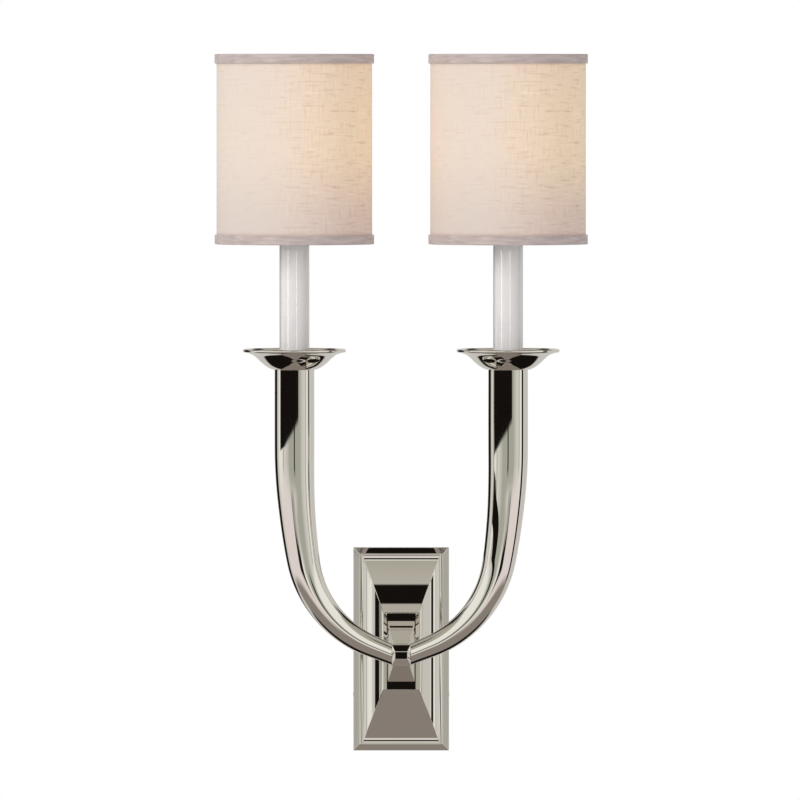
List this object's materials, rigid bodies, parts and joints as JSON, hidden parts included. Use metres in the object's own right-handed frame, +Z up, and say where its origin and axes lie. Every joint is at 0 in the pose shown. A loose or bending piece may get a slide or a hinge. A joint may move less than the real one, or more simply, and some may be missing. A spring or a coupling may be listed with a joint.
{
  "type": "double arm wall sconce",
  "caption": "Wall sconce with a bevelled rectangular backplate, a pair of tapered horn arms, drip dishes, candle sleeves and drum shades in linen.",
  "frame": {"origin": "middle of the line between the two wall box screws, on the wall plane", "axes": "+Z up, +X to the right as seen from the room, +Y into the wall, so the sconce stands out towards -Y"},
  "size_m": [0.2744, 0.1487, 0.5172],
  "materials": {
    "nickel": "polished",
    "steel": "satin, zinc plated",
    "screw_steel": "polished heads",
    "earth_green": "gloss",
    "terminal_plastic": "matt",
    "brass": "plain",
    "candle_white": "gloss",
    "socket_black": "matt",
    "lead_insulation": "matt",
    "cap_metal": "plain",
    "clear_glass": "clear",
    "filament": "matt",
    "linen": "linen weave",
    "tape": "folded tape"
  },
  "bodies": {
    "fixture": {"mounting_bracket": "steel", "side_screws": "screw_steel", "earth_screw": "earth_green", "terminal_block": "terminal_plastic", "backplate": "nickel", "neck": "nickel", "hub_block": "nickel", "stem_tube": "brass", "stem_washer": "steel", "stem_nut": "brass", "left_arm": "nickel", "left_bobeche": "nickel", "left_nipple": "brass", "left_nipple_nut": "brass", "left_socket_holder": "steel", "left_candle_sleeve": "candle_white", "left_socket_body": "socket_black", "left_socket_shell": "brass", "left_socket_contact": "brass", "left_lead_wires": "lead_insulation", "right_arm": "nickel", "right_bobeche": "nickel", "right_nipple": "brass", "right_nipple_nut": "brass", "right_socket_holder": "steel", "right_candle_sleeve": "candle_white", "right_socket_body": "socket_black", "right_socket_shell": "brass", "right_socket_contact": "brass", "right_lead_wires": "lead_insulation"},
    "left_bulb": {"left_bulb_cap": "cap_metal", "left_bulb_glass": "clear_glass", "left_bulb_filament": "filament"},
    "left_clip": {"left_shade_clip": "steel", "left_clip_rivet": "steel"},
    "left_shade": {"left_shade_spider": "steel", "left_shade_bottom_ring": "steel", "left_shade_drum": "linen", "left_shade_bottom_trim": "tape", "left_shade_top_trim": "tape"},
    "right_bulb": {"right_bulb_cap": "cap_metal", "right_bulb_glass": "clear_glass", "right_bulb_filament": "filament"},
    "right_clip": {"right_shade_clip": "steel", "right_clip_rivet": "steel"},
    "right_shade": {"right_shade_spider": "steel", "right_shade_bottom_ring": "steel", "right_shade_drum": "linen", "right_shade_bottom_trim": "tape", "right_shade_top_trim": "tape"}
  },
  "joints": [
    {"name": "left_bulb_out", "type": "slide", "parent": "fixture", "child": "left_bulb", "axis": [0, 0, 1], "range_m": [0, 0.04]},
    {"name": "left_clip_off", "type": "slide", "parent": "left_bulb", "child": "left_clip", "axis": [0, 0, 1], "range_m": [0, 0.13]},
    {"name": "left_shade_turn", "type": "hinge", "parent": "left_clip", "child": "left_shade", "pos_m": [-0.0785, -0.09, 0.4022], "axis": [0, 0, 1], "continuous": true},
    {"name": "right_bulb_out", "type": "slide", "parent": "fixture", "child": "right_bulb", "axis": [0, 0, 1], "range_m": [0, 0.04]},
    {"name": "right_clip_off", "type": "slide", "parent": "right_bulb", "child": "right_clip", "axis": [0, 0, 1], "range_m": [0, 0.13]},
    {"name": "right_shade_turn", "type": "hinge", "parent": "right_clip", "child": "right_shade", "pos_m": [0.0785, -0.09, 0.4022], "axis": [0, 0, 1], "continuous": true}
  ]
}
